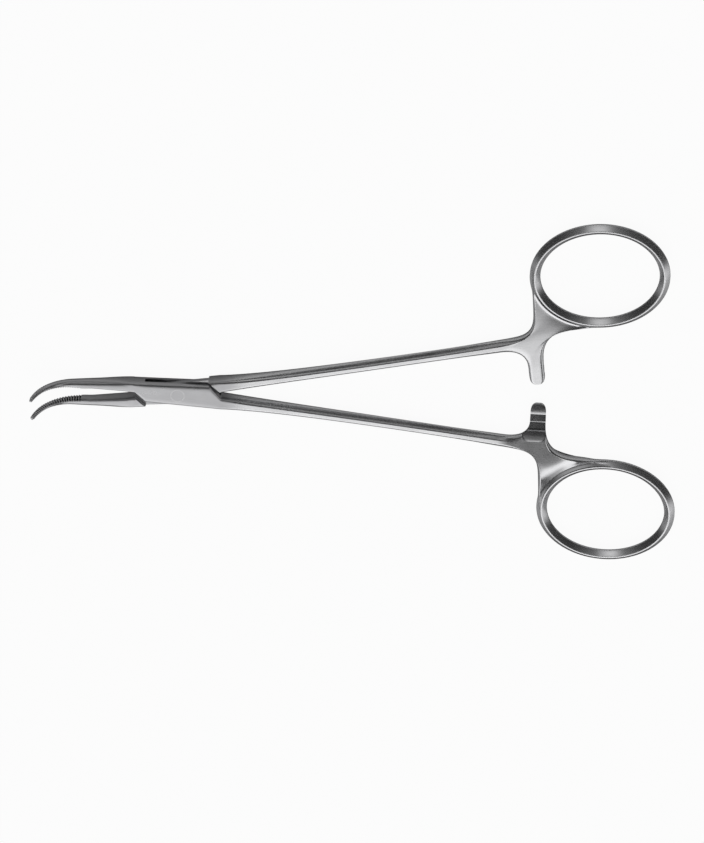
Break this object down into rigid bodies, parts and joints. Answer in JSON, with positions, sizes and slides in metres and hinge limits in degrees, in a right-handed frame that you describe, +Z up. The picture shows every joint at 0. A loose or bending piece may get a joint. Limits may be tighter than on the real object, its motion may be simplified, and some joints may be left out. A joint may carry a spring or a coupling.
{
  "type": "dissecting forceps",
  "caption": "Curved, ring-handled dissecting forceps with a box lock, a finger ratchet and fine cross-serrated jaws that bend up at the tips.",
  "frame": {"origin": "on the pivot pin's axis, at the box lock's lower face, on which the forceps lie", "axes": "+Z up along the pivot axis, the way the tips curve; +X from the pivot towards the finger rings; +Y towards the inner half's ring"},
  "size_m": [0.1393, 0.085, 0.0095],
  "materials": {
    "satin_steel": "satin",
    "pin_steel": "satin"
  },
  "bodies": {
    "box_side": {"box_half": "satin_steel", "pivot_pin": "pin_steel"},
    "inner_side": {"inner_half": "satin_steel"}
  },
  "joints": [
    {"name": "box_lock_pivot", "type": "hinge", "parent": "box_side", "child": "inner_side", "pos_m": [0, 0, 0], "axis": [0, 0, 1], "range_deg": [-7, 48]}
  ]
}
